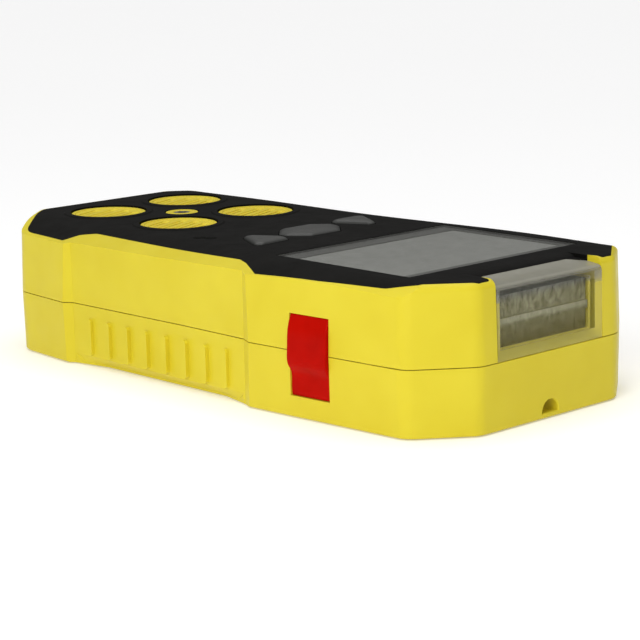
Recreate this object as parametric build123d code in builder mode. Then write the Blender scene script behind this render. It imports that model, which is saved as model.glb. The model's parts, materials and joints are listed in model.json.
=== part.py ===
"""Portable four-gas detector, lying on its back.

Millimetres. Origin at the middle of the underside, X along the case (gas sensors at -X, display and
alarm lens at +X), Y across it, Z up out of the display.
"""
from build123d import *
import os
from math import atan2, cos, degrees, radians, sin, sqrt, tan

os.makedirs("parts", exist_ok=True)

# ---- driving dimensions --------------------------------------------------------------------------
HALF_LENGTH = 75.0
HALF_WIDTH = 36.5
TOP_Z = 31.2                 # flat top of the black cover
SPLIT_Z = 14.2               # parting plane of the two case halves
SPLIT_GAP = 0.2
WALL = 2.0
FLOOR_T = 2.0
UPPER_DRAFT = 1.8            # degrees, each half closes in away from the parting plane
LOWER_DRAFT = 0.9
FOOT_CHAMFER = 0.3           # round the underside
COVER_T = 1.8
DECK_T = 3.0
GRIP_DEPTH = 1.6
RIM_R = 1.8                  # rounding of the upper rim
FIT = 0.15                   # gap round the pieces that drop into an opening
SIDE_FIT = 0.06              # gap round the pressed-in red windows

DECK_TOP = TOP_Z - COVER_T
DECK_LOW = DECK_TOP - DECK_T
UPPER_Z = SPLIT_Z + SPLIT_GAP / 2
LOWER_Z = SPLIT_Z - SPLIT_GAP / 2

# gas cells: the common 20 mm round size
CELL_X = (-56.1, -29.3)
CELL_Y = 12.0
CELL_R = 10.0
GRILLE_R = 9.0
BOSS_X = sum(CELL_X) / 2
BOSS_R = 3.9

# display
WINDOW_X = (20.2, 59.9)
WINDOW_HALF_Y = 25.8
LCD_X = (24.5, 56.4)
LCD_HALF_Y = 24.4

# alarm lens on the display end
LENS_HALF_Y = 16.2
LENS_TOP = 30.4
LENS_LIP_X = 67.6            # where the cover ends and the lens shows on the top
LENS_BACK_X = 66.0
LENS_FOOT_X = LENS_BACK_X - 3.6
LIP_FROM_X = 64.8            # the cover rolls down from here to the lens

# red side windows
SIDE_X = (34.6, 45.5)
SIDE_Z = (4.6, 22.0)

# keys
KEY_TRAVEL = 0.5
KEY_EDGE = TOP_Z + 0.1
KEY_GAP = 0.2

# circuit boards and battery
BOARD_T = 1.6
MAIN_BOARD_Z = 19.4
SENSOR_BOARD_Z = 8.0
BOARD_HALF_Y = 24.5
SCREW_SPOTS = [(x, y) for x, y_half in ((BOSS_X, 29.4), (60.5, 28.6)) for y in (-y_half, y_half)]
BOARD_SPOTS = [(-13.0, -8.0), (-13.0, 8.0), (15.0, -21.0), (15.0, 21.0)]
CELL_SPOTS = [(x, y) for x in CELL_X for y in (-CELL_Y, CELL_Y)]


def save(piece, label):
    """Label a finished piece and write it as the STEP file of its node."""
    piece.part.label = label
    export_step(piece.part, f"parts/{label}.step")


def cut_box(x, y, z):
    """Cut the box between the given limits out of the active part."""
    add_box(x, y, z, mode=Mode.SUBTRACT)


def add_box(x, y, z, mode=Mode.ADD):
    """Add the box between the given limits to the active part."""
    with BuildSketch(Plane.XY.offset(z[0])) as base:
        with Locations(((x[0] + x[1]) / 2, (y[0] + y[1]) / 2)):
            Rectangle(x[1] - x[0], y[1] - y[0])
    extrude(base.sketch, amount=z[1] - z[0], mode=mode)


def add_discs(spots, radius, z, mode=Mode.ADD):
    """Add, or cut, upright round pillars at the given places between two heights."""
    with BuildSketch(Plane.XY.offset(z[0])) as base:
        with Locations(*spots):
            Circle(radius)
    extrude(base.sketch, amount=z[1] - z[0], mode=mode)


# ---- plan outlines -------------------------------------------------------------------------------
# each half is drawn from the display end to the sensor end
TAPER_FROM = (34.0, 35.8)
TAPER_TO = (65.6, 33.6)
HALF_OUTLINE = [
    (HALF_LENGTH, 0), (HALF_LENGTH, 21.2), TAPER_TO, TAPER_FROM, (22.5, HALF_WIDTH),
    (-43.0, HALF_WIDTH), (-62.4, 34.6), (-HALF_LENGTH, 20.0), (-HALF_LENGTH, 0),
]
HALF_COVER = [
    (LENS_LIP_X, 0), (LENS_LIP_X, LENS_HALF_Y - 3.0), (LENS_LIP_X + 3.2, LENS_HALF_Y + 0.2),
    (73.8, 17.2), (73.8, 20.4), (66.6, 29.6), (59.4, 32.2), (42.2, 34.3), (24.2, 35.6),
    (17.6, 32.2), (14.4, 31.1), (-37.4, 29.9), (-41.7, 31.6), (-44.2, 34.8), (-60.9, 33.3),
    (-72.9, 19.2), (-72.9, 0),
]
GRIP_OUTLINE = [
    (-43.0, HALF_WIDTH + 1), (-43.0, HALF_WIDTH), (-41.0, 35.0), (-2.0, HALF_WIDTH - GRIP_DEPTH - 0.3),
    (19.4, 35.0), (22.5, HALF_WIDTH), (22.5, HALF_WIDTH + 1),
]

with BuildSketch() as case_outline:
    with BuildLine():
        Polyline(*HALF_OUTLINE)
        mirror(about=Plane.XZ)
    make_face()
    fillet([v for v in case_outline.vertices() if v.X < -60], 7.0)
    fillet([v for v in case_outline.vertices() if v.X > 60], 5.0)

with BuildSketch() as cover_outline:
    with BuildLine():
        Polyline(*HALF_COVER)
        mirror(about=Plane.XZ)
    make_face()
    fillet([v for v in cover_outline.vertices() if v.X < -60], 7.0)
    fillet([v for v in cover_outline.vertices() if -43 < v.X < -30], 3.0)
    fillet([v for v in cover_outline.vertices() if abs(v.X + 44.2) < 1 or abs(v.X - 24.2) < 1], 1.2)
    fillet([v for v in cover_outline.vertices() if 14 < v.X < 18], 2.0)
    fillet([v for v in cover_outline.vertices() if 59 < v.X < 67], 4.0)
    fillet([v for v in cover_outline.vertices() if v.X > LENS_LIP_X - 0.1], 0.8)

with BuildSketch() as grip_recess:
    with BuildLine():
        Polyline(*GRIP_OUTLINE, close=True)
    make_face()
    mirror(about=Plane.XZ)

with BuildSketch() as cavity_outline:
    add(case_outline.sketch)
    add(grip_recess.sketch, mode=Mode.SUBTRACT)
    offset(amount=-WALL, kind=Kind.INTERSECTION)

with BuildSketch() as seal_outline:
    add(cavity_outline.sketch)
    offset(amount=1.5, kind=Kind.INTERSECTION)
    offset(amount=-0.9, kind=Kind.INTERSECTION, mode=Mode.SUBTRACT)


# ---- outer surface of the upper half: drafted walls under a crown --------------------------------
# x, half-width of the flat top, half-width and drop where the crown meets the wall, crown tension
CROWN_SECTIONS = [
    (-80.0, 24.0, 37.0, 3.4, 4.0), (-45.0, 24.0, 37.0, 3.6, 4.0), (-18.0, 24.0, 37.0, 3.6, 4.0),
    (6.0, 25.2, 37.0, 3.3, 3.6), (28.0, 27.6, 37.0, 2.8, 3.0), (52.0, 28.6, 35.0, 2.8, 2.4),
    (80.0, 30.0, 34.4, 1.6, 1.8),
]

with BuildPart() as crown:
    for x, flat, edge, drop, pull in CROWN_SECTIONS:
        with BuildSketch(Plane.YZ.offset(x)):
            with BuildLine():
                Polyline((-edge, TOP_Z - drop), (-edge, -1), (edge, -1), (edge, TOP_Z - drop))
                Bezier((edge, TOP_Z - drop), (flat + pull, TOP_Z), (flat, TOP_Z))
                Line((flat, TOP_Z), (-flat, TOP_Z))
                Bezier((-flat, TOP_Z), (-flat - pull, TOP_Z), (-edge, TOP_Z - drop))
            make_face()
    loft()

with BuildPart() as side_profile:
    with BuildSketch(Plane.XZ):
        with BuildLine():
            Polyline((-76, 28.8), (-76, -1), (76, -1), (76, TOP_Z), (-72, TOP_Z))
            Bezier((-72, TOP_Z), (-75.2, TOP_Z), (-76, 28.8))
        make_face()
    extrude(amount=HALF_WIDTH + 2, both=True)

with BuildPart() as upper_envelope:
    with BuildSketch(Plane.XY.offset(UPPER_Z)):
        add(case_outline.sketch)
    extrude(amount=TOP_Z - UPPER_Z, taper=UPPER_DRAFT)
    fillet(upper_envelope.faces().sort_by(Axis.Z)[-1].edges(), RIM_R)
    with BuildSketch(Plane.XY.offset(UPPER_Z)):
        add(grip_recess.sketch)
    extrude(amount=TOP_Z - UPPER_Z + 1, dir=(0, 0, 1), mode=Mode.SUBTRACT)
    add(crown.part, mode=Mode.INTERSECT)
    add(side_profile.part, mode=Mode.INTERSECT)

with BuildPart() as cover_blank:
    add(upper_envelope.part)
    with BuildSketch(Plane.XY.offset(UPPER_Z)):
        add(cover_outline.sketch)
    extrude(amount=TOP_Z, mode=Mode.INTERSECT)
    add(upper_envelope.part.moved(Location((0, 0, -COVER_T))), mode=Mode.SUBTRACT)

# ---- red side windows ----------------------------------------------------------------------------
# each one follows the case wall, which closes in towards the display end
WALL_TURN = degrees(atan2(TAPER_FROM[1] - TAPER_TO[1], TAPER_TO[0] - TAPER_FROM[0]))
SIDE_MID_X = sum(SIDE_X) / 2
SIDE_MID_Y = TAPER_FROM[1] - (SIDE_MID_X - TAPER_FROM[0]) * tan(radians(WALL_TURN))
SIDE_LONG = (SIDE_X[1] - SIDE_X[0]) / cos(radians(WALL_TURN))
SIDE_DEPTH = 3.0
SIDE_EDGE_R = 0.4
# how far the face of a window stands out of the wall, and the height: a full upper part over a step
SIDE_FACE = [(-0.5, 4.6), (-0.3, 7.4), (-0.1, 9.8), (0.75, 11.2), (1.0, 14.6), (0.7, 18.6), (-0.5, 22.0)]


def side_frame_plane(side):
    """Plane at the middle of a window for upright boxes: x along the wall, z up."""
    return Plane(origin=(SIDE_MID_X, side * SIDE_MID_Y, 0), x_dir=(cos(radians(WALL_TURN)),
                 -side * sin(radians(WALL_TURN)), 0), z_dir=(0, 0, 1))


def cut_side_windows(margin):
    """Cut both window openings, wider than the window by the margin, through the active part."""
    for side in (-1, 1):
        with BuildSketch(side_frame_plane(side).offset(SIDE_Z[0] - margin)) as opening:
            Rectangle(SIDE_LONG + 2 * margin, 12.0)
        extrude(opening.sketch, amount=SIDE_Z[1] - SIDE_Z[0] + 2 * margin, mode=Mode.SUBTRACT)


def side_lens(side, label):
    """One red window: a thick plate whose face bulges above a step, with rounded long edges."""
    low, high = SIDE_Z
    with BuildPart() as lens:
        with BuildSketch(Plane.YZ):
            with BuildLine():
                Polyline(SIDE_FACE[-1], (-SIDE_DEPTH, high), (-SIDE_DEPTH, low), SIDE_FACE[0])
                Spline(*SIDE_FACE)
            make_face()
        extrude(amount=SIDE_LONG / 2, both=True)
        fillet([e for e in lens.edges() if e.center().Y > -1 and abs(e.center().X) > 1], SIDE_EDGE_R)
    placed = lens.part
    if side < 0:
        placed = placed.mirror(Plane.XZ)
    placed = placed.moved(Location((SIDE_MID_X, side * SIDE_MID_Y, 0), (0, 0, -side * WALL_TURN)))
    with BuildPart() as window:
        add(placed)
    save(window, label)


side_lens(-1, "side_lens_right")
side_lens(1, "side_lens_left")

# ---- keys ----------------------------------------------------------------------------------------
KEY_SHAPES = {
    "up_button": [(-1.3, -16.4), (-1.3, -15.0), (6.4, -10.4), (8.2, -11.4), (8.9, -19.6), (7.6, -20.9)],
    "enter_button": [(-2.2, -4.6), (-2.2, 4.6), (1.7, 8.3), (3.9, 8.3), (8.4, 4.4), (8.4, -4.4),
                     (3.9, -8.3), (1.7, -8.3)],
    "down_button": [(-2.4, 12.0), (-0.9, 10.9), (7.2, 15.2), (7.2, 16.8), (-0.9, 21.1), (-2.4, 20.0)],
}
KEY_MIDDLES = {"up_button": (4.6, -15.6), "enter_button": (2.9, 0.0), "down_button": (1.6, 16.1)}
# dome of a key: rise over its edge, and the share of the outline left at that height
KEY_DOME = [(0.0, 1.0), (0.35, 0.93), (0.6, 0.8), (0.75, 0.62), (0.8, 0.4)]
KEY_CORNER_R = 1.1
KEY_FLANGE_Z = (DECK_LOW - 1.1, DECK_LOW - 0.1)
KEY_STEM_Z = DECK_LOW - 1.9
FLANGE_WIDE = 1.0


def key_sketch(name, height, grow=0.0, share=1.0):
    """Outline of one key on the plane at a height, grown by a margin or shrunk to its middle."""
    middle = KEY_MIDDLES[name]
    with BuildSketch(Plane.XY.offset(height)) as outline:
        Polygon(*[(middle[0] + share * (x - middle[0]), middle[1] + share * (y - middle[1]))
                  for x, y in KEY_SHAPES[name]], align=None)
        fillet(outline.vertices(), KEY_CORNER_R * share)
        if grow:
            offset(amount=grow)
    return outline.sketch


for name, middle in KEY_MIDDLES.items():
    with BuildPart() as key:
        extrude(key_sketch(name, KEY_FLANGE_Z[0], FLANGE_WIDE), amount=KEY_FLANGE_Z[1] - KEY_FLANGE_Z[0])
        extrude(key_sketch(name, KEY_FLANGE_Z[1]), amount=KEY_EDGE - KEY_FLANGE_Z[1])
        loft([key_sketch(name, KEY_EDGE + rise, share=share) for rise, share in KEY_DOME])
        add_discs([middle], 1.5, (KEY_STEM_Z, KEY_FLANGE_Z[0]))
    save(key, name)


def cut_keys(z):
    """Cut the three key openings between two heights."""
    for name in KEY_SHAPES:
        extrude(key_sketch(name, z[0], KEY_GAP), amount=z[1] - z[0], mode=Mode.SUBTRACT)


# ---- top cover -----------------------------------------------------------------------------------
LIP_R = GRILLE_R + 1.9
LIP_H = 0.3
SOUND_HOLES = [(-9.7, -22.1), (-7.4, -20.8)]
SOUND_R = 1.1
SOUND_FLARE = 0.5
THROUGH = (DECK_TOP - 2, TOP_Z + 2)

with BuildPart() as top_cover:
    add(cover_blank.part)
    with BuildSketch(Plane.XY.offset(TOP_Z)):
        with Locations(*CELL_SPOTS):
            Circle(LIP_R)
    extrude(amount=LIP_H, taper=50)
    with BuildSketch(Plane.XZ):
        with BuildLine():
            Polyline((LIP_FROM_X, TOP_Z), (LIP_FROM_X, TOP_Z + 1), (HALF_LENGTH, TOP_Z + 1),
                     (HALF_LENGTH, LENS_TOP), (LENS_LIP_X, LENS_TOP))
            Bezier((LENS_LIP_X, LENS_TOP), (LENS_LIP_X - 0.8, TOP_Z), (LIP_FROM_X, TOP_Z))
        make_face()
    extrude(amount=LENS_HALF_Y, both=True, mode=Mode.SUBTRACT)
    add_discs(CELL_SPOTS, GRILLE_R + 0.3, THROUGH, mode=Mode.SUBTRACT)
    add_discs([(BOSS_X, 0)], BOSS_R + 0.3, THROUGH, mode=Mode.SUBTRACT)
    add_discs(SOUND_HOLES, SOUND_R, THROUGH, mode=Mode.SUBTRACT)
    with Locations(*[(x, y, TOP_Z - SOUND_FLARE / 2) for x, y in SOUND_HOLES]):
        Cone(bottom_radius=SOUND_R, top_radius=SOUND_R + SOUND_FLARE, height=SOUND_FLARE, mode=Mode.SUBTRACT)
    cut_keys(THROUGH)
    cut_box((WINDOW_X[0] - FIT, WINDOW_X[1] + FIT), (-WINDOW_HALF_Y - FIT, WINDOW_HALF_Y + FIT), THROUGH)
save(top_cover, "top_cover")

# ---- upper case ----------------------------------------------------------------------------------
GUARD_T = 1.5
GUARD_LOW = DECK_TOP - GUARD_T
GUARD_X = (-68.4, -17.0)
GUARD_HALF_Y = 23.0
GUARD_CORNER = 9.0
GUARD_MID = (GUARD_X[0] + GUARD_X[1]) / 2
FILTER_T = 0.5
DECK_OPEN_X = (21.6, 58.6)
DECK_OPEN_HALF_Y = 25.2
BOSS_OUTER = 3.3
SCREW_R = 1.45
POST_R = 2.0
BOARD_SCREW_R = 0.9
LENS_SPAN_Y = (-LENS_HALF_Y - FIT, LENS_HALF_Y + FIT)
SEAL_DEPTH = 0.8             # groove in each half
CELL_BORE_R = GRILLE_R - 1.0


def guard_plate(z, grow, mode=Mode.ADD):
    """Rounded plate under the four grilles, or the pocket for it."""
    with BuildSketch(Plane.XY.offset(z[0])) as plate:
        with Locations((GUARD_MID, 0)):
            RectangleRounded(GUARD_X[1] - GUARD_X[0] + 2 * grow, 2 * (GUARD_HALF_Y + grow), GUARD_CORNER)
    extrude(plate.sketch, amount=z[1] - z[0], mode=mode)


with BuildPart() as upper_cavity:
    with BuildSketch(Plane.XY.offset(UPPER_Z - 1)):
        add(cavity_outline.sketch)
    extrude(amount=TOP_Z)
    add(upper_envelope.part.moved(Location((0, 0, -COVER_T - DECK_T))), mode=Mode.INTERSECT)

with BuildPart() as upper_case:
    add(upper_envelope.part)
    add(cover_blank.part, mode=Mode.SUBTRACT)
    add(upper_cavity.part, mode=Mode.SUBTRACT)
    guard_plate((GUARD_LOW, TOP_Z), FIT, mode=Mode.SUBTRACT)
    add_discs(CELL_SPOTS, GRILLE_R + 0.2, (GUARD_LOW - FILTER_T, TOP_Z), mode=Mode.SUBTRACT)
    add_discs(CELL_SPOTS, CELL_BORE_R, (DECK_LOW - 1, TOP_Z), mode=Mode.SUBTRACT)
    add_discs([(BOSS_X, 0)], 3.5, (DECK_LOW - 5.0, GUARD_LOW))
    add_discs([(BOSS_X, 0)], 1.0, (DECK_LOW - 5.0, GUARD_LOW), mode=Mode.SUBTRACT)
    add_discs(SOUND_HOLES, SOUND_R, (DECK_LOW - 1, TOP_Z), mode=Mode.SUBTRACT)
    cut_keys((DECK_LOW - 1, TOP_Z))
    cut_box(DECK_OPEN_X, (-DECK_OPEN_HALF_Y, DECK_OPEN_HALF_Y), (DECK_LOW - 1, TOP_Z))
    add_discs(SCREW_SPOTS, BOSS_OUTER, (UPPER_Z, DECK_LOW))
    add_discs(BOARD_SPOTS, POST_R, (MAIN_BOARD_Z + BOARD_T, DECK_LOW))
    add_discs(BOARD_SPOTS, BOARD_SCREW_R, (MAIN_BOARD_Z + BOARD_T, DECK_LOW - 0.5), mode=Mode.SUBTRACT)
    add_discs(SCREW_SPOTS, SCREW_R, (UPPER_Z - 1, DECK_LOW - 1.5), mode=Mode.SUBTRACT)
    cut_box((LENS_FOOT_X, HALF_LENGTH + 2), LENS_SPAN_Y, (UPPER_Z - 1, DECK_TOP))
    cut_box((LENS_LIP_X, HALF_LENGTH + 2), LENS_SPAN_Y, (UPPER_Z, TOP_Z + 1))
    cut_side_windows(SIDE_FIT)
    with BuildSketch(Plane.XY.offset(UPPER_Z - 1)):
        add(seal_outline.sketch)
    extrude(amount=1 + SEAL_DEPTH, mode=Mode.SUBTRACT)
save(upper_case, "upper_case")

# ---- lower case ----------------------------------------------------------------------------------
RIB_X = [-34.4 + 6.83 * step for step in range(8)]
RIB_Z = (2.6, 11.2)
RIB_W = 1.5
RIB_PROUD = 35.75
RIB_ROOT = 2.2               # how far a rib reaches into the wall
CELL_POSTS = [(x, y) for x in (-64.0, -21.4) for y in (-20.0, 20.0)]
# the grip panels end above a sloping undercut that runs out at both ends, with a low foot below it
UNDERCUT_X = (-40.5, 19.0)
UNDERCUT_TOP = 2.3
UNDERCUT_FOOT = 0.5
UNDERCUT_IN = 1.8
UNDERCUT_RUN_OUT = (10.0, 8.0)
EYE_HALF_Y = 2.5
EYE_Z = (1.0, 3.8)
EYE_FLARE = 0.45
EYE_WALL = 1.8
EYE_DEPTH = 6.6
EYE_BAR = 2.8
EYE_BACK_X = HALF_LENGTH - EYE_DEPTH
SCREW_HEAD_R = 2.75
SCREW_HEAD_Z = (1.2, 3.0)
MOTOR_X = 58.0
MOTOR_Z = 6.5
MOTOR_R = 3.0
MOTOR_Y = (-8.0, 3.0)


def eye_sketch(x, grow):
    """D-shaped outline of the lanyard eye on the plane at x: flat below, arched above."""
    wide = EYE_HALF_Y + grow
    low = EYE_Z[0] - grow
    high = EYE_Z[1] + grow
    with BuildSketch(Plane.YZ.offset(x)) as eye:
        with BuildLine():
            Polyline((-wide, low + 0.5), (-wide, low), (wide, low), (wide, low + 0.5))
            ThreePointArc((wide, low + 0.5), (0, high), (-wide, low + 0.5))
        make_face()
    return eye.sketch


def undercut_sketch(side, height, depth):
    """Plan of the strip cut from under one grip panel, on the plane at a height."""
    start, stop = UNDERCUT_X
    outer = HALF_WIDTH + 1
    face = HALF_WIDTH - GRIP_DEPTH
    with BuildSketch(Plane.XY.offset(height)) as strip:
        Polygon((start, side * outer), (start, side * face),
                (start + UNDERCUT_RUN_OUT[0], side * (face - depth)),
                (stop - UNDERCUT_RUN_OUT[1], side * (face - depth)),
                (stop, side * face), (stop, side * outer), align=None)
    return strip.sketch


with BuildPart() as lower_case:
    with BuildSketch(Plane.XY.offset(LOWER_Z)):
        add(case_outline.sketch)
    extrude(amount=-LOWER_Z, taper=LOWER_DRAFT)
    chamfer(lower_case.faces().sort_by(Axis.Z)[0].edges(), FOOT_CHAMFER)
    with BuildSketch(Plane.XY.offset(-1)):
        add(grip_recess.sketch)
    extrude(amount=LOWER_Z + 2, dir=(0, 0, 1), mode=Mode.SUBTRACT)
    for side in (-1, 1):
        foot = undercut_sketch(side, UNDERCUT_FOOT, UNDERCUT_IN)
        loft([undercut_sketch(side, UNDERCUT_TOP, 0.0), foot], ruled=True, mode=Mode.SUBTRACT)
        extrude(foot, amount=UNDERCUT_FOOT + 1, dir=(0, 0, -1), mode=Mode.SUBTRACT)
    for side in (-1, 1):
        with BuildSketch(Plane.XZ.offset(-side * RIB_PROUD)):
            with Locations(*[(x, (RIB_Z[0] + RIB_Z[1]) / 2) for x in RIB_X]):
                SlotOverall(RIB_Z[1] - RIB_Z[0], RIB_W, rotation=90)
        extrude(amount=side * RIB_ROOT)
    with BuildSketch(Plane.XY.offset(FLOOR_T)):
        add(cavity_outline.sketch)
        offset(amount=-0.3, kind=Kind.INTERSECTION, mode=Mode.REPLACE)
    extrude(amount=LOWER_Z, mode=Mode.SUBTRACT)
    add_discs(SCREW_SPOTS, BOSS_OUTER + 0.6, (FLOOR_T, LOWER_Z))
    add_discs(SCREW_SPOTS, SCREW_R + 0.2, (-1, LOWER_Z + 1), mode=Mode.SUBTRACT)
    add_discs(SCREW_SPOTS, SCREW_HEAD_R + 0.2, (-1, SCREW_HEAD_Z[1]), mode=Mode.SUBTRACT)
    add_box((EYE_BACK_X - EYE_WALL, HALF_LENGTH - 1.5), (-EYE_HALF_Y - EYE_WALL, EYE_HALF_Y + EYE_WALL),
            (FLOOR_T - 0.5, EYE_Z[1] + EYE_WALL))
    extrude(eye_sketch(EYE_BACK_X, 0), amount=EYE_DEPTH + 1, mode=Mode.SUBTRACT)
    loft([eye_sketch(HALF_LENGTH - EYE_FLARE, 0), eye_sketch(HALF_LENGTH + 0.1, EYE_FLARE)],
         mode=Mode.SUBTRACT)
    cut_box((EYE_BACK_X, HALF_LENGTH - EYE_BAR), (-EYE_HALF_Y, EYE_HALF_Y), (-1, EYE_Z[0] + 0.5))
    add_box((MOTOR_X - 5, MOTOR_X + 5), (MOTOR_Y[0] + 1.5, MOTOR_Y[1] - 1.5), (FLOOR_T - 0.5, MOTOR_Z - 0.5))
    with BuildSketch(Plane.XZ.offset(-MOTOR_Y[0])):
        with Locations((MOTOR_X, MOTOR_Z)):
            Circle(MOTOR_R)
    extrude(amount=-(MOTOR_Y[1] - MOTOR_Y[0]), mode=Mode.SUBTRACT)
    add_discs(CELL_POSTS, 2.6, (FLOOR_T - 0.5, SENSOR_BOARD_Z))
    cut_side_windows(SIDE_FIT)
    with BuildSketch(Plane.XY.offset(LOWER_Z - SEAL_DEPTH)):
        add(seal_outline.sketch)
    extrude(amount=2, mode=Mode.SUBTRACT)
save(lower_case, "lower_case")

# ---- seal between the halves, broken at the side windows and the alarm lens ----------------------
with BuildPart() as case_seal:
    with BuildSketch(Plane.XY.offset(LOWER_Z - SEAL_DEPTH)):
        add(seal_outline.sketch)
    extrude(amount=2 * SEAL_DEPTH + SPLIT_GAP)
    cut_side_windows(SIDE_FIT)
    cut_box((LENS_FOOT_X, HALF_LENGTH + 2), LENS_SPAN_Y, (UPPER_Z, TOP_Z))
save(case_seal, "case_seal")

# ---- sensor guard with four slotted grilles and the centre boss ----------------------------------
# each slot is a narrow slit at the bottom of a shallow groove
GROOVE_W = 2.0
GROOVE_DEPTH = 0.3
SLIT_W = 0.7
SLOT_STEP = 3.5
SLOT_TURN = 112.0
SLOT_REACH = 6.9
RIM_W = 0.9
FACE_Z = TOP_Z - 0.35
BOSS_TOP = TOP_Z - 0.05

def cut_slots(across, wide, low, shorter=0.0):
    """Cut one slanting slot into each grille, off its middle by a distance, down to a height."""
    reach = 2 * sqrt(SLOT_REACH ** 2 - across ** 2) - shorter
    shift = (across * sin(radians(SLOT_TURN)), -across * cos(radians(SLOT_TURN)))
    with BuildSketch(Plane.XY.offset(low)) as slots:
        for x, y in CELL_SPOTS:
            with Locations((x + shift[0], y + shift[1])):
                SlotOverall(reach, wide, rotation=SLOT_TURN)
    extrude(slots.sketch, amount=TOP_Z + 1 - low, mode=Mode.SUBTRACT)


with BuildPart() as sensor_guard:
    guard_plate((GUARD_LOW, DECK_TOP), 0)
    add_discs(CELL_SPOTS, GRILLE_R, (DECK_TOP, FACE_Z + 0.25))
    add_discs(CELL_SPOTS, GRILLE_R - RIM_W, (FACE_Z, FACE_Z + 1), mode=Mode.SUBTRACT)
    add_discs([(BOSS_X, 0)], BOSS_R, (DECK_TOP, BOSS_TOP))
    add_discs([(BOSS_X, 0)], 2.1, (BOSS_TOP - 1.0, TOP_Z), mode=Mode.SUBTRACT)
    add_discs([(BOSS_X, 0)], 1.1, (GUARD_LOW - 1, TOP_Z), mode=Mode.SUBTRACT)
    for row in (-1.5, -0.5, 0.5, 1.5):
        cut_slots(row * SLOT_STEP, GROOVE_W, FACE_Z - GROOVE_DEPTH)
        cut_slots(row * SLOT_STEP, SLIT_W, GUARD_LOW - 1, shorter=GROOVE_W)
save(sensor_guard, "sensor_guard")


def cross_cut(spots, z, size):
    """Cut a cross recess into screw heads."""
    with BuildSketch(Plane.XY.offset(z[0])) as cross:
        with Locations(*spots):
            Rectangle(size, size / 4)
            Rectangle(size / 4, size)
    extrude(cross.sketch, amount=z[1] - z[0], mode=Mode.SUBTRACT)


with BuildPart() as guard_screw:
    add_discs([(BOSS_X, 0)], 1.95, (BOSS_TOP - 1.0, BOSS_TOP - 0.1))
    add_discs([(BOSS_X, 0)], 1.0, (DECK_LOW - 3.0, BOSS_TOP - 1.0))
    cross_cut([(BOSS_X, 0)], (BOSS_TOP - 0.7, TOP_Z), 2.8)
save(guard_screw, "guard_screw")

# ---- gas cells, their gasket and dust filters ----------------------------------------------------
GASKET_T = 0.5
CELL_TOP = DECK_LOW - GASKET_T
CELL_LOW = SENSOR_BOARD_Z + BOARD_T
CELL_NAMES = ["oxygen_cell", "carbon_monoxide_cell", "hydrogen_sulfide_cell", "combustible_cell"]

with BuildPart() as dust_filters:
    add_discs(CELL_SPOTS, GRILLE_R + 0.1, (GUARD_LOW - FILTER_T, GUARD_LOW))
save(dust_filters, "dust_filters")

with BuildPart() as sensor_gasket:
    guard_plate((CELL_TOP, DECK_LOW), -0.4)
    add_discs(CELL_SPOTS, CELL_BORE_R, (CELL_TOP - 1, DECK_LOW + 1), mode=Mode.SUBTRACT)
    add_discs([(BOSS_X, 0)], 3.6, (CELL_TOP - 1, DECK_LOW + 1), mode=Mode.SUBTRACT)
save(sensor_gasket, "sensor_gasket")

for label, spot in zip(CELL_NAMES, CELL_SPOTS):
    with BuildPart() as cell:
        add_discs([spot], CELL_R, (CELL_LOW + 1.0, CELL_TOP - 0.6))
        add_discs([spot], CELL_R - 1.2, (CELL_TOP - 0.6, CELL_TOP))
        add_discs([spot], CELL_R - 1.5, (CELL_LOW, CELL_LOW + 1.0))
        add_discs([spot], 4.0, (CELL_TOP - 0.8, CELL_TOP + 1), mode=Mode.SUBTRACT)
    save(cell, label)

# ---- circuit boards ------------------------------------------------------------------------------
SENSOR_BOARD_X = (-69.0, -17.6)
with BuildPart() as sensor_board:
    with BuildSketch(Plane.XY.offset(SENSOR_BOARD_Z)):
        with Locations((sum(SENSOR_BOARD_X) / 2, 0)):
            RectangleRounded(SENSOR_BOARD_X[1] - SENSOR_BOARD_X[0], 2 * 24.0, 3.0)
    extrude(amount=BOARD_T)
save(sensor_board, "sensor_board")

MAIN_X = (-17.3, 61.4)
with BuildPart() as main_board:
    add_box(MAIN_X, (-BOARD_HALF_Y, BOARD_HALF_Y), (MAIN_BOARD_Z, MAIN_BOARD_Z + BOARD_T))
    add_discs(BOARD_SPOTS, BOARD_SCREW_R + 0.1, (MAIN_BOARD_Z - 1, MAIN_BOARD_Z + 3), mode=Mode.SUBTRACT)
save(main_board, "main_board")

with BuildPart() as sensor_flex:
    add_box((SENSOR_BOARD_X[1], MAIN_X[0]), (-6.0, 6.0), (SENSOR_BOARD_Z + 0.2, MAIN_BOARD_Z + 1.4))
save(sensor_flex, "sensor_flex")

with BuildPart() as board_screws:
    add_discs(BOARD_SPOTS, 1.7, (MAIN_BOARD_Z - 1.2, MAIN_BOARD_Z))
    add_discs(BOARD_SPOTS, BOARD_SCREW_R, (MAIN_BOARD_Z, MAIN_BOARD_Z + 5.0))
    cross_cut(BOARD_SPOTS, (MAIN_BOARD_Z - 2, MAIN_BOARD_Z - 0.6), 2.0)
save(board_screws, "board_screws")

SWITCH_TOP = KEY_STEM_Z - KEY_TRAVEL - 0.1
with BuildPart() as key_switches:
    for middle in KEY_MIDDLES.values():
        add_box((middle[0] - 2.2, middle[0] + 2.2), (middle[1] - 2.2, middle[1] + 2.2),
                (MAIN_BOARD_Z + BOARD_T, SWITCH_TOP - 0.8))
        add_discs([middle], 1.2, (SWITCH_TOP - 0.8, SWITCH_TOP))
save(key_switches, "key_switches")

# ---- display stack -------------------------------------------------------------------------------
WINDOW_T = 0.4
MASK_T = 0.2
GLUE_T = 0.04
WINDOW_TOP = TOP_Z - 0.1
MASK_TOP = WINDOW_TOP - WINDOW_T - GLUE_T
MASK_LOW = MASK_TOP - MASK_T
LCD_T = 2.2
LCD_LOW = MASK_LOW - LCD_T
BACKLIGHT_T = 2.4
LCD_FRAME_X = (22.0, 58.2)
LCD_FRAME_HALF_Y = 25.0

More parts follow.
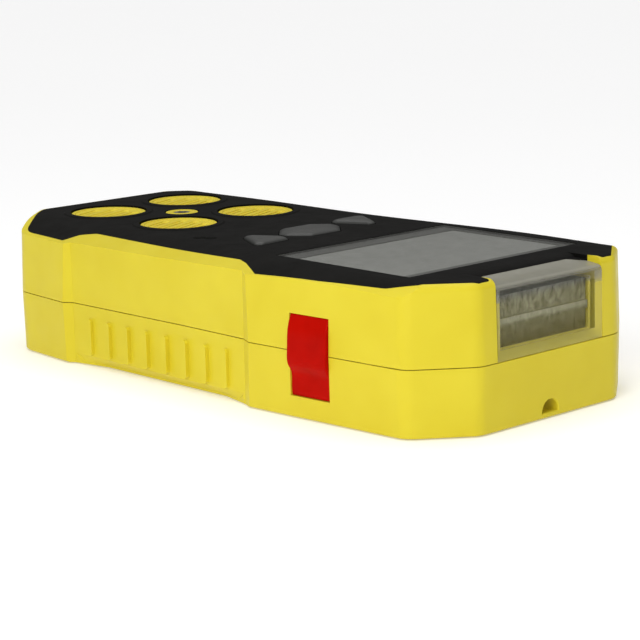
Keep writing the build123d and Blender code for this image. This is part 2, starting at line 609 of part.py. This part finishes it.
with BuildPart() as display_window:
    add_box(WINDOW_X, (-WINDOW_HALF_Y, WINDOW_HALF_Y), (WINDOW_TOP - WINDOW_T, WINDOW_TOP))
save(display_window, "display_window")

with BuildPart() as display_mask:
    add_box(WINDOW_X, (-WINDOW_HALF_Y, WINDOW_HALF_Y), (MASK_LOW, MASK_TOP))
    cut_box(LCD_X, (-LCD_HALF_Y, LCD_HALF_Y), (MASK_LOW - 1, WINDOW_TOP))
save(display_mask, "display_mask")

with BuildPart() as lcd_panel:
    add_box(LCD_FRAME_X, (-LCD_FRAME_HALF_Y, LCD_FRAME_HALF_Y), (LCD_LOW, MASK_LOW))
save(lcd_panel, "lcd_panel")

with BuildPart() as backlight:
    add_box(LCD_FRAME_X, (-LCD_FRAME_HALF_Y, LCD_FRAME_HALF_Y), (LCD_LOW - BACKLIGHT_T, LCD_LOW))
save(backlight, "backlight")

with BuildPart() as display_flex:
    add_box((LCD_FRAME_X[0] - 0.2, LCD_FRAME_X[0]), (-10.0, 10.0), (MAIN_BOARD_Z + BOARD_T, MASK_LOW - 0.8))
save(display_flex, "display_flex")

# ---- alarm lens, its frosted bar, lamps and board ------------------------------------------------
LENS_WALL = 1.8
LENS_LOW = UPPER_Z
LENS_STEP_Z = DECK_TOP - 0.2       # the part under the cover ends here
LENS_FRONT_Z = 29.5                # height of the front upper edge
DIFFUSER_X = (66.6, 72.4)
DIFFUSER_HALF_Y = 13.8
BAND_Z = (20.6, 22.4)
BAND_PROUD = 0.5

with BuildPart() as alarm_lens:
    with BuildSketch(Plane.XZ):
        with BuildLine():
            Polyline((HALF_LENGTH, LENS_LOW), (LENS_BACK_X, LENS_LOW), (LENS_BACK_X, LENS_STEP_Z),
                     (LENS_LIP_X + 0.1, LENS_STEP_Z), (LENS_LIP_X + 0.1, LENS_TOP),
                     (HALF_LENGTH - 1.4, LENS_FRONT_Z + 0.2))
            Bezier((HALF_LENGTH - 1.4, LENS_FRONT_Z + 0.2), (HALF_LENGTH - 0.4, LENS_FRONT_Z + 0.1),
                   (HALF_LENGTH - 0.2, LENS_FRONT_Z - 1.0))
            Line((HALF_LENGTH - 0.2, LENS_FRONT_Z - 1.0), (HALF_LENGTH, LENS_LOW))
        make_face()
    extrude(amount=LENS_HALF_Y, both=True)
    cut_box((LENS_BACK_X - 1, HALF_LENGTH - LENS_WALL), (-LENS_HALF_Y + LENS_WALL, LENS_HALF_Y - LENS_WALL),
            (LENS_LOW + LENS_WALL, LENS_STEP_Z - LENS_WALL))
    for side in (-1, 1):
        with BuildSketch(Plane.XY.offset(LENS_STEP_Z)):
            Polygon((LENS_LIP_X, side * (LENS_HALF_Y - 3.3)), (LENS_LIP_X + 3.3, side * LENS_HALF_Y),
                    (LENS_LIP_X, side * (LENS_HALF_Y + 1)), align=None)
        extrude(amount=3.0, dir=(0, 0, 1), mode=Mode.SUBTRACT)
save(alarm_lens, "alarm_lens")

with BuildPart() as alarm_diffuser:
    add_box(DIFFUSER_X, (-DIFFUSER_HALF_Y, DIFFUSER_HALF_Y),
            (LENS_LOW + LENS_WALL, LENS_STEP_Z - 0.4 - LENS_WALL))
    add_box((DIFFUSER_X[1], DIFFUSER_X[1] + BAND_PROUD), (-DIFFUSER_HALF_Y, DIFFUSER_HALF_Y), BAND_Z)
save(alarm_diffuser, "alarm_diffuser")

ALARM_BOARD_X = (62.6, 64.2)
ALARM_LED_Y = (-9.0, -3.0, 3.0, 9.0)
with BuildPart() as alarm_board:
    add_box(ALARM_BOARD_X, (-15.0, 15.0), (15.4, 25.6))
save(alarm_board, "alarm_board")

with BuildPart() as alarm_leds:
    for y in ALARM_LED_Y:
        add_box((ALARM_BOARD_X[1], ALARM_BOARD_X[1] + 1.2), (y - 1.6, y + 1.6), (20.0, 23.2))
save(alarm_leds, "alarm_leds")

with BuildPart() as side_leds:
    for side in (-1, 1):
        add_box((SIDE_MID_X - 1.6, SIDE_MID_X + 1.6),
                sorted((side * (BOARD_HALF_Y - 2.0), side * BOARD_HALF_Y)),
                (MAIN_BOARD_Z - 1.8, MAIN_BOARD_Z))
save(side_leds, "side_leds")

# ---- sounder, vibration motor and battery --------------------------------------------------------
BUZZER = (-10.0, -18.8)
with BuildPart() as buzzer:
    add_discs([BUZZER], 5.5, (MAIN_BOARD_Z + BOARD_T, DECK_LOW))
    add_discs([BUZZER], 1.2, (DECK_LOW - 1.5, DECK_LOW + 1), mode=Mode.SUBTRACT)
save(buzzer, "buzzer")

SHAFT_R = 0.5
SHAFT_FIT = 0.05
WEIGHT_Y = (MOTOR_Y[1] + 0.7, MOTOR_Y[1] + 4.2)
WEIGHT_R = 2.7
WEIGHT_HUB_R = 1.1


def barrel(radius, y, mode=Mode.ADD):
    """Round piece on the motor's axis between two values of y."""
    with BuildSketch(Plane.XZ.offset(-y[0])) as disc:
        with Locations((MOTOR_X, MOTOR_Z)):
            Circle(radius)
    extrude(disc.sketch, amount=-(y[1] - y[0]), mode=mode)


with BuildPart() as vibration_motor:
    barrel(MOTOR_R, MOTOR_Y)
    barrel(SHAFT_R + SHAFT_FIT, (MOTOR_Y[1] - 4.0, MOTOR_Y[1] + 1), mode=Mode.SUBTRACT)
save(vibration_motor, "vibration_motor")

with BuildPart() as motor_weight:
    barrel(WEIGHT_R, WEIGHT_Y)
    cut_box((MOTOR_X - 5, MOTOR_X + 5), (WEIGHT_Y[0] - 1, WEIGHT_Y[1] + 1), (MOTOR_Z, MOTOR_Z + 5))
    barrel(WEIGHT_HUB_R, WEIGHT_Y)
    barrel(SHAFT_R, (MOTOR_Y[1] - 3.8, WEIGHT_Y[1]))
save(motor_weight, "motor_weight")

BATTERY_X = (-13.0, 50.0)
BATTERY_HALF_Y = 21.0
PAD_T = 1.0
BATTERY_LOW = FLOOR_T + PAD_T
BATTERY_T = 9.0
with BuildPart() as battery_pad:
    add_box((BATTERY_X[0] + 2, BATTERY_X[1] - 2), (-BATTERY_HALF_Y + 2, BATTERY_HALF_Y - 2),
            (FLOOR_T, BATTERY_LOW))
save(battery_pad, "battery_pad")

with BuildPart() as battery_pack:
    add_box(BATTERY_X, (-BATTERY_HALF_Y, BATTERY_HALF_Y), (BATTERY_LOW, BATTERY_LOW + BATTERY_T))
    fillet(battery_pack.edges().filter_by(Axis.Y), 2.0)
save(battery_pack, "battery_pack")

# ---- screws from the underside -------------------------------------------------------------------
with BuildPart() as case_screws:
    add_discs(SCREW_SPOTS, SCREW_HEAD_R, SCREW_HEAD_Z)
    add_discs(SCREW_SPOTS, SCREW_R, (SCREW_HEAD_Z[1], 22.0))
    cross_cut(SCREW_SPOTS, (SCREW_HEAD_Z[0] - 1, SCREW_HEAD_Z[0] + 1.1), 3.2)
save(case_screws, "case_screws")
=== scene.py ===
"""Looks of the portable four-gas detector: materials, edges, light and camera."""

import json
from math import cos, radians, sin

import bpy
from mathutils import Matrix, Vector

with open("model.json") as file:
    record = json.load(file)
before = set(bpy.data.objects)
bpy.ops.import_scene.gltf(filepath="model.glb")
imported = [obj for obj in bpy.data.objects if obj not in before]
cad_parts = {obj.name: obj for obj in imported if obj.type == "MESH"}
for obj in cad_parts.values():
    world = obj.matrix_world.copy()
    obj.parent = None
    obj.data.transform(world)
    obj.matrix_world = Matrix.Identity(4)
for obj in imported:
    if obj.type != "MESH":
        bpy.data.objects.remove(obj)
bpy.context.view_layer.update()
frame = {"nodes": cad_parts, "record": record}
NODES = frame["nodes"]
MM = 0.001
WHITE = (1, 1, 1, 1)


# ---- node helpers -------------------------------------------------------------------------------
def new_material(name):
    """A node material with its Principled shader and object coordinates in millimetres."""
    material = bpy.data.materials.new(name)
    material.use_nodes = True
    tree = material.node_tree
    shader = tree.nodes["Principled BSDF"]
    coords = tree.nodes.new("ShaderNodeTexCoord")
    scale = tree.nodes.new("ShaderNodeVectorMath")
    scale.operation = "SCALE"
    scale.inputs["Scale"].default_value = 1 / MM
    tree.links.new(coords.outputs["Object"], scale.inputs[0])
    return material, tree, shader, scale.outputs[0]


def noise(tree, vector, size_mm, detail=3.0, roughness=0.55, stretch=None):
    """Noise whose grains are about size_mm across, longer along an axis whose stretch is under 1."""
    if stretch:
        squeeze = tree.nodes.new("ShaderNodeVectorMath")
        squeeze.operation = "MULTIPLY"
        squeeze.inputs[1].default_value = stretch
        tree.links.new(vector, squeeze.inputs[0])
        vector = squeeze.outputs[0]
    texture = tree.nodes.new("ShaderNodeTexNoise")
    texture.inputs["Scale"].default_value = 1 / size_mm
    texture.inputs["Detail"].default_value = detail
    texture.inputs["Roughness"].default_value = roughness
    tree.links.new(vector, texture.inputs["Vector"])
    return texture.outputs["Fac"]


def remap(tree, value, source, target=(0, 1)):
    """Map a value from the source range to the target range, clamped."""
    node = tree.nodes.new("ShaderNodeMapRange")
    node.inputs["From Min"].default_value, node.inputs["From Max"].default_value = source
    node.inputs["To Min"].default_value, node.inputs["To Max"].default_value = target
    tree.links.new(value, node.inputs["Value"])
    return node.outputs["Result"]


def mix(tree, kind, factor, first, second):
    """Blend two values or colours, each given as a number, a colour or a socket."""
    node = tree.nodes.new("ShaderNodeMix")
    node.data_type = kind
    tree.links.new(factor, node.inputs["Factor"])
    for key, value in (("A", first), ("B", second)):
        if isinstance(value, bpy.types.NodeSocket):
            tree.links.new(value, node.inputs[key])
        else:
            node.inputs[key].default_value = (*value, 1) if kind == "RGBA" else value
    return node.outputs["Result"]


def blend(tree, factor, dark, light):
    """Colour between two tones."""
    return mix(tree, "RGBA", factor, dark, light)


def multiply(tree, first, second):
    """Product of two values."""
    node = tree.nodes.new("ShaderNodeMath")
    node.operation = "MULTIPLY"
    tree.links.new(first, node.inputs[0])
    tree.links.new(second, node.inputs[1])
    return node.outputs[0]


def inside(tree, value, limits, fade):
    """1 where a value lies between the limits, fading out over a width beyond them."""
    low, high = limits
    rise = remap(tree, value, (low - fade, low))
    fall = remap(tree, value, (high, high + fade), (1, 0))
    return multiply(tree, rise, fall)


def bump(tree, shader, height, strength, depth_mm):
    """Bump from a height between 0 and 1."""
    node = tree.nodes.new("ShaderNodeBump")
    node.inputs["Strength"].default_value = strength
    node.inputs["Distance"].default_value = depth_mm * MM
    tree.links.new(height, node.inputs["Height"])
    tree.links.new(node.outputs["Normal"], shader.inputs["Normal"])


def axes(tree, vector):
    """The X, Y and Z sockets of a vector."""
    split = tree.nodes.new("ShaderNodeSeparateXYZ")
    tree.links.new(vector, split.inputs[0])
    return split.outputs


# ---- materials ----------------------------------------------------------------------------------
NOISE_SPAN = (0.3, 0.7)      # the part of a noise's range that is stretched over the two tones
CLOUD_MM = 14.0              # soft patches of tone in a moulding
WEAR_MM = 5.0                # patches of gloss in a moulding
GLOSS_SPREAD = 0.06          # how far the roughness of a moulding wanders
GRAIN_DEPTH_MM = 0.05        # depth of the spark-eroded grain


def moulded_plastic(name, dark, light, rough, grain_mm=0.35, grain=0.25):
    """Moulded plastic: spark-eroded grain, soft cloudy tone and slightly uneven gloss."""
    material, tree, shader, vector = new_material(name)
    cloud = remap(tree, noise(tree, vector, CLOUD_MM, 2.0), NOISE_SPAN)
    tree.links.new(blend(tree, cloud, dark, light), shader.inputs["Base Color"])
    gloss = (rough - GLOSS_SPREAD, rough + GLOSS_SPREAD)
    wear = remap(tree, noise(tree, vector, WEAR_MM, 4.0), NOISE_SPAN, gloss)
    tree.links.new(wear, shader.inputs["Roughness"])
    bump(tree, shader, noise(tree, vector, grain_mm, 2.0), grain, GRAIN_DEPTH_MM)
    return material, tree, shader, vector


def make_case_yellow():
    dark, light = (0.69, 0.565, 0.024), (0.73, 0.610, 0.032)
    material, _, shader, _ = moulded_plastic("case_yellow", dark, light, 0.42)
    shader.inputs["Specular IOR Level"].default_value = 0.20
    shader.inputs["Subsurface Weight"].default_value = 0.06
    shader.inputs["Subsurface Radius"].default_value = (0.6, 0.4, 0.05)
    shader.inputs["Subsurface Scale"].default_value = 1.5 * MM
    return material


def make_cover_black():
    dark, light = (0.0058, 0.0055, 0.0048), (0.0078, 0.0074, 0.0065)
    material, _, shader, _ = moulded_plastic("cover_black", dark, light, 0.58, grain_mm=0.22, grain=0.4)
    shader.inputs["Specular IOR Level"].default_value = 0.05
    return material


KEY_HIGHLIGHT_Z = (31.6, 32.1)   # painted highlight: the keys turn paler over this height, as if lit from above


def make_key_grey():
    dark, light = (0.028, 0.029, 0.026), (0.036, 0.037, 0.034)
    material, tree, shader, vector = moulded_plastic("key_grey", dark, light, 0.42, grain_mm=0.2, grain=0.3)
    skirt = shader.inputs["Base Color"].links[0].from_socket
    # painted highlight: a paler, mottled tone blended in towards the top of each key, standing in for light
    # on the key tops
    painted_highlight_tone = blend(tree, noise(tree, vector, 1.5), (0.048, 0.048, 0.044), (0.068, 0.068, 0.064))
    highlight_rise = remap(tree, axes(tree, vector)["Z"], KEY_HIGHLIGHT_Z)
    tree.links.new(blend(tree, highlight_rise, skirt, painted_highlight_tone), shader.inputs["Base Color"])
    shader.inputs["Specular IOR Level"].default_value = 0.4
    return material


def make_grille_yellow():
    dark, light = (0.70, 0.55, 0.028), (0.77, 0.62, 0.036)
    material, _, shader, _ = moulded_plastic("grille_yellow", dark, light, 0.45)
    shader.inputs["Specular IOR Level"].default_value = 0.25
    shader.inputs["Subsurface Weight"].default_value = 0.05
    shader.inputs["Subsurface Scale"].default_value = 1.0 * MM
    return material


def make_steel():
    """Screw steel: one noise drives tone, gloss and grain."""
    material, tree, shader, vector = new_material("screw_steel")
    streak = noise(tree, vector, 0.5)
    tone = blend(tree, streak, (0.32, 0.31, 0.29), (0.5, 0.49, 0.46))
    tree.links.new(tone, shader.inputs["Base Color"])
    tree.links.new(remap(tree, streak, NOISE_SPAN, (0.25, 0.45)), shader.inputs["Roughness"])
    shader.inputs["Metallic"].default_value = 1.0
    bump(tree, shader, streak, 0.15, 0.02)
    return material


def make_window():
    """Thin clear window over the display: mostly see-through, with its gloss kept."""
    material, tree, shader, vector = new_material("display_clear")
    shader.inputs["Base Color"].default_value = (0.30, 0.30, 0.28, 1)
    gloss = remap(tree, noise(tree, vector, 9.0), NOISE_SPAN, (0.10, 0.18))
    tree.links.new(gloss, shader.inputs["Roughness"])
    haze = remap(tree, noise(tree, vector, 3.0, 5.0), (0.35, 0.7), (0.14, 0.20))
    tree.links.new(haze, shader.inputs["Alpha"])
    return material


LENS_MIDDLE_Y = (-15.4, 13.7)        # the clear middle of the alarm lens, in front of the frosted bar
LENS_MIDDLE_Z = (16.8, 28.6)
LENS_TOP_Z = (29.0, 29.5)            # the rim turns into the top over this height
LENS_AMBER_Z = (26.0, 27.0)          # below this the rim takes the colour of the case behind it
LENS_FADE = 0.2
MIDDLE_ALPHA, RIM_ALPHA, TOP_ALPHA = 0.06, 0.42, 0.72


def make_lens():
    """Clear alarm lens: its thick rim and top carry a painted pale reflection of the bright light above,
    and its middle is see-through.
    """
    material, tree, shader, vector = new_material("lens_clear")
    place = axes(tree, vector)
    middle_y = inside(tree, place["Y"], LENS_MIDDLE_Y, LENS_FADE)
    middle_z = inside(tree, place["Z"], LENS_MIDDLE_Z, LENS_FADE)
    rim = remap(tree, place["Z"], LENS_TOP_Z, (RIM_ALPHA, TOP_ALPHA))
    alpha = mix(tree, "FLOAT", multiply(tree, middle_y, middle_z), rim, MIDDLE_ALPHA)
    tree.links.new(alpha, shader.inputs["Alpha"])
    haze = noise(tree, vector, 4.0)
    # painted reflection: this pale tone, shown most on the top where the lens is most opaque, stands in for
    # bright light reflected from above
    pale = blend(tree, haze, (0.34, 0.33, 0.26), (0.42, 0.41, 0.34))
    amber = blend(tree, haze, (0.80, 0.69, 0.10), (0.88, 0.77, 0.16))
    low = remap(tree, place["Z"], LENS_AMBER_Z, (1, 0))
    tree.links.new(blend(tree, low, pale, amber), shader.inputs["Base Color"])
    shader.inputs["Roughness"].default_value = 0.12
    return material


def make_red():
    """Red alarm window with a faint ripple in its face."""
    material, tree, shader, vector = new_material("lens_red")
    cloud = remap(tree, noise(tree, vector, 7.0), NOISE_SPAN)
    tone = blend(tree, cloud, (0.40, 0.0035, 0.0012), (0.49, 0.0045, 0.0015))
    tree.links.new(tone, shader.inputs["Base Color"])
    shader.inputs["Roughness"].default_value = 0.25
    shader.inputs["Specular IOR Level"].default_value = 0.02
    bump(tree, shader, noise(tree, vector, 3.5, 2.0), 0.35, 0.2)
    return material


BAND_Z = (21.6, 22.3)        # light band across the frosted bar
BAND_FADE = 0.7
BAR_FADE_Z = (18.0, 23.0)    # the bar turns from its dark foot to its lighter top


def make_frosted():
    """Frosted bar behind the alarm lens: dark foot, lighter top and a pale band, all mottled."""
    material, tree, shader, vector = new_material("diffuser_frosted")
    height = axes(tree, vector)["Z"]
    mottle = noise(tree, vector, 0.75, 5.0, 0.7, stretch=(1.0, 1.0, 0.45))
    speck = remap(tree, mottle, (0.38, 0.63))
    lower = blend(tree, speck, (0.006, 0.005, 0.004), (0.056, 0.048, 0.043))
    upper = blend(tree, speck, (0.035, 0.036, 0.030), (0.20, 0.205, 0.175))
    pale = blend(tree, speck, (0.17, 0.175, 0.15), (0.27, 0.275, 0.24))
    body = blend(tree, remap(tree, height, BAR_FADE_Z), lower, upper)
    band = inside(tree, height, BAND_Z, BAND_FADE)
    tree.links.new(blend(tree, band, body, pale), shader.inputs["Base Color"])
    shader.inputs["Roughness"].default_value = 0.55
    bump(tree, shader, mottle, 0.8, 0.3)
    return material


def make_board():
    """Green circuit board with paler tracks that run along Y."""
    material, tree, shader, vector = new_material("circuit_board")
    tracks = noise(tree, vector, 2.0, 1.0, 0.3, stretch=(1.0, 0.25, 1.0))
    tone = blend(tree, remap(tree, tracks, (0.49, 0.51)), (0.010, 0.09, 0.035), (0.020, 0.14, 0.06))
    tree.links.new(tone, shader.inputs["Base Color"])
    shader.inputs["Roughness"].default_value = 0.35
    bump(tree, shader, tracks, 0.2, 0.05)
    return material


def make_plain(name, dark, light, rough, metallic=0.0, **grain):
    """A moulded or plated piece that needs only two tones and a grain."""
    material, _, shader, _ = moulded_plastic(name, dark, light, rough, **grain)
    shader.inputs["Metallic"].default_value = metallic
    return material


# Slots whose material has its own function.
MATERIALS = {
    "case_yellow": make_case_yellow(),
    "cover_black": make_cover_black(),
    "key_grey": make_key_grey(),
    "grille_yellow": make_grille_yellow(),
    "screw_steel": make_steel(),
    "display_clear": make_window(),
    "lens_clear": make_lens(),
    "lens_red": make_red(),
    "diffuser_frosted": make_frosted(),
    "circuit_board": make_board(),
}

# The other slots: dark tone, light tone, roughness, and a grain or metal where it differs.
PLAIN = {
    "seal_rubber": ((0.16, 0.115, 0.008), (0.22, 0.165, 0.014), 0.75, {}),
    "filter_membrane": ((0.62, 0.61, 0.57), (0.75, 0.74, 0.70), 0.8, {"grain_mm": 0.15, "grain": 0.6}),
    "lcd_grey": ((0.285, 0.290, 0.265), (0.305, 0.310, 0.285), 0.5, {"grain_mm": 0.3, "grain": 0.05}),
    "display_border": ((0.062, 0.064, 0.056), (0.070, 0.072, 0.064), 0.5, {"grain_mm": 0.3, "grain": 0.05}),
    "flex_circuit": ((0.30, 0.13, 0.02), (0.40, 0.18, 0.03), 0.35, {}),
    "switch_plastic": ((0.02, 0.02, 0.02), (0.035, 0.035, 0.035), 0.45, {}),
    "cell_plastic": ((0.62, 0.62, 0.60), (0.72, 0.72, 0.70), 0.5, {}),
    "cell_metal": ((0.45, 0.45, 0.44), (0.58, 0.58, 0.56), 0.35, {"metallic": 1.0}),
    "light_guide": ((0.70, 0.72, 0.70), (0.80, 0.82, 0.80), 0.3, {}),
    "led_package": ((0.70, 0.62, 0.30), (0.85, 0.78, 0.45), 0.3, {}),
    "motor_metal": ((0.45, 0.45, 0.44), (0.58, 0.58, 0.56), 0.3, {"metallic": 1.0}),
    "weight_metal": ((0.25, 0.24, 0.22), (0.36, 0.35, 0.33), 0.4, {"metallic": 1.0}),
    "battery_wrap": ((0.015, 0.04, 0.14), (0.03, 0.07, 0.20), 0.25, {}),
}
for slot, (dark, light, rough, options) in PLAIN.items():
    MATERIALS[slot] = make_plain(slot, dark, light, rough, **options)

SLOT_OF = {entry["node"]: entry["material_slot"] for entry in frame["record"]["subparts"]}
for node, obj in NODES.items():
    obj.data.materials.clear()
    obj.data.materials.append(MATERIALS[SLOT_OF[node]])


# ---- edges --------------------------------------------------------------------------------------
WELD_MM = 0.002              # joins the loose corners of the CAD mesh, so that its edges can be rounded
SHARP_DEGREES = 20.0         # an edge is rounded where its faces turn by more than this
EDGE_SEGMENTS = 2
EVEN_WEIGHT = 50             # how far large faces rule the shading of the rounds beside them
EDGE_MM = {
    "upper_case": 0.3, "lower_case": 0.3, "top_cover": 0.2, "sensor_guard": 0.15, "alarm_lens": 0.3,
    "up_button": 0.35, "enter_button": 0.35, "down_button": 0.35,
}


def soften(node, width_mm):
    """Round the sharp edges of a CAD node with modifiers, and shade it smooth between them."""
    obj = NODES[node]
    weld = obj.modifiers.new("weld", "WELD")
    weld.merge_threshold = WELD_MM * MM
    bevel = obj.modifiers.new("edge", "BEVEL")
    bevel.width = width_mm * MM
    bevel.segments = EDGE_SEGMENTS
    bevel.limit_method = "ANGLE"
    bevel.angle_limit = radians(SHARP_DEGREES)
    bevel.harden_normals = True
    bevel.use_clamp_overlap = True
    even = obj.modifiers.new("even", "WEIGHTED_NORMAL")
    even.mode = "FACE_AREA"
    even.weight = EVEN_WEIGHT


# ---- floor, light and camera --------------------------------------------------------------------
FLOOR_SIZE = 20.0
FLOOR_DROP = 0.3 * MM        # keeps the floor clear of the flat underside
FLOOR_GLOW = 0.20            # lifts the floor to the photo's white

WORLD_SPAN = (0.15, 0.75)    # the surround brightens from here to here, 0 level and 1 overhead
WORLD_STRENGTH = (0.08, 0.50)

SKY_TOWARD = (0.1, -0.1, -1.0)
SKY_STRENGTH = 1.15
SKY_DEGREES = 60

KEY_AT = (0.24, -0.40, 0.24)
KEY_TARGET = (0.05, 0, 0.015)
KEY_SIZE = 0.3
KEY_POWER = 1.25

CAMERA_AT = Vector((0.3528, -0.3229, 0.1097))
CAMERA_AZIMUTH = radians(47.072)
CAMERA_ELEVATION = radians(11.77)
CAMERA_ROLL = radians(-1.268)
CAMERA_LENS_MM = 119.3
CAMERA_SENSOR_MM = 36.0
CAMERA_CLIP = (0.01, 20.0)


def make_floor():
    bpy.ops.mesh.primitive_plane_add(size=FLOOR_SIZE, location=(0, 0, -FLOOR_DROP))
    floor = bpy.context.object
    floor.name = "floor"
    material, tree, shader, vector = new_material("floor_white")
    tone = blend(tree, noise(tree, vector, 300.0, 2.0), (0.93, 0.93, 0.93), (0.95, 0.95, 0.95))
    tree.links.new(tone, shader.inputs["Base Color"])
    shader.inputs["Roughness"].default_value = 0.8
    shader.inputs["Specular IOR Level"].default_value = 0.0
    shader.inputs["Emission Color"].default_value = WHITE
    shader.inputs["Emission Strength"].default_value = FLOOR_GLOW
    floor.data.materials.append(material)


def make_world():
    """Soft studio surround, dim near the horizon and bright overhead."""
    world = bpy.data.worlds.new("studio")
    bpy.context.scene.world = world
    world.use_nodes = True
    tree = world.node_tree
    background = tree.nodes["Background"]
    background.inputs["Color"].default_value = WHITE
    coords = tree.nodes.new("ShaderNodeTexCoord")
    height = axes(tree, coords.outputs["Generated"])["Z"]
    tree.links.new(remap(tree, height, WORLD_SPAN, WORLD_STRENGTH), background.inputs["Strength"])


def place_light(name, kind, power, toward):
    """A light that shines along a direction."""
    light = bpy.data.lights.new(name, kind)
    light.energy = power
    obj = bpy.data.objects.new(name, light)
    bpy.context.scene.collection.objects.link(obj)
    obj.rotation_euler = Vector(toward).to_track_quat("-Z", "Y").to_euler()
    return light, obj


def make_lights():
    """A broad light from above, and a near one that brightens the corner by the display."""
    sky, _ = place_light("sky", "SUN", SKY_STRENGTH, SKY_TOWARD)
    sky.angle = radians(SKY_DEGREES)
    key, key_obj = place_light("key", "AREA", KEY_POWER, Vector(KEY_TARGET) - Vector(KEY_AT))
    key.shape = "DISK"
    key.size = KEY_SIZE
    key_obj.location = KEY_AT


def make_camera():
    """The photo's camera, rolled slightly about its own axis."""
    data = bpy.data.cameras.new("camera")
    data.lens = CAMERA_LENS_MM
    data.sensor_width = CAMERA_SENSOR_MM
    data.clip_start, data.clip_end = CAMERA_CLIP
    camera = bpy.data.objects.new("camera", data)
    bpy.context.scene.collection.objects.link(camera)
    back = Vector((sin(CAMERA_AZIMUTH) * cos(CAMERA_ELEVATION),
                   -cos(CAMERA_AZIMUTH) * cos(CAMERA_ELEVATION),
                   sin(CAMERA_ELEVATION)))
    level = (-back).cross(Vector((0, 0, 1))).normalized()
    upright = level.cross(-back).normalized()
    right = cos(CAMERA_ROLL) * level + sin(CAMERA_ROLL) * upright
    up = -sin(CAMERA_ROLL) * level + cos(CAMERA_ROLL) * upright
    turn = Matrix((right, up, back)).transposed()
    camera.matrix_world = Matrix.Translation(CAMERA_AT) @ turn.to_4x4()
    bpy.context.scene.camera = camera


make_floor()
make_world()
make_lights()
make_camera()
bpy.context.scene.view_settings.view_transform = "Standard"
bpy.context.scene.view_settings.look = "None"

for node, width in EDGE_MM.items():
    soften(node, width)
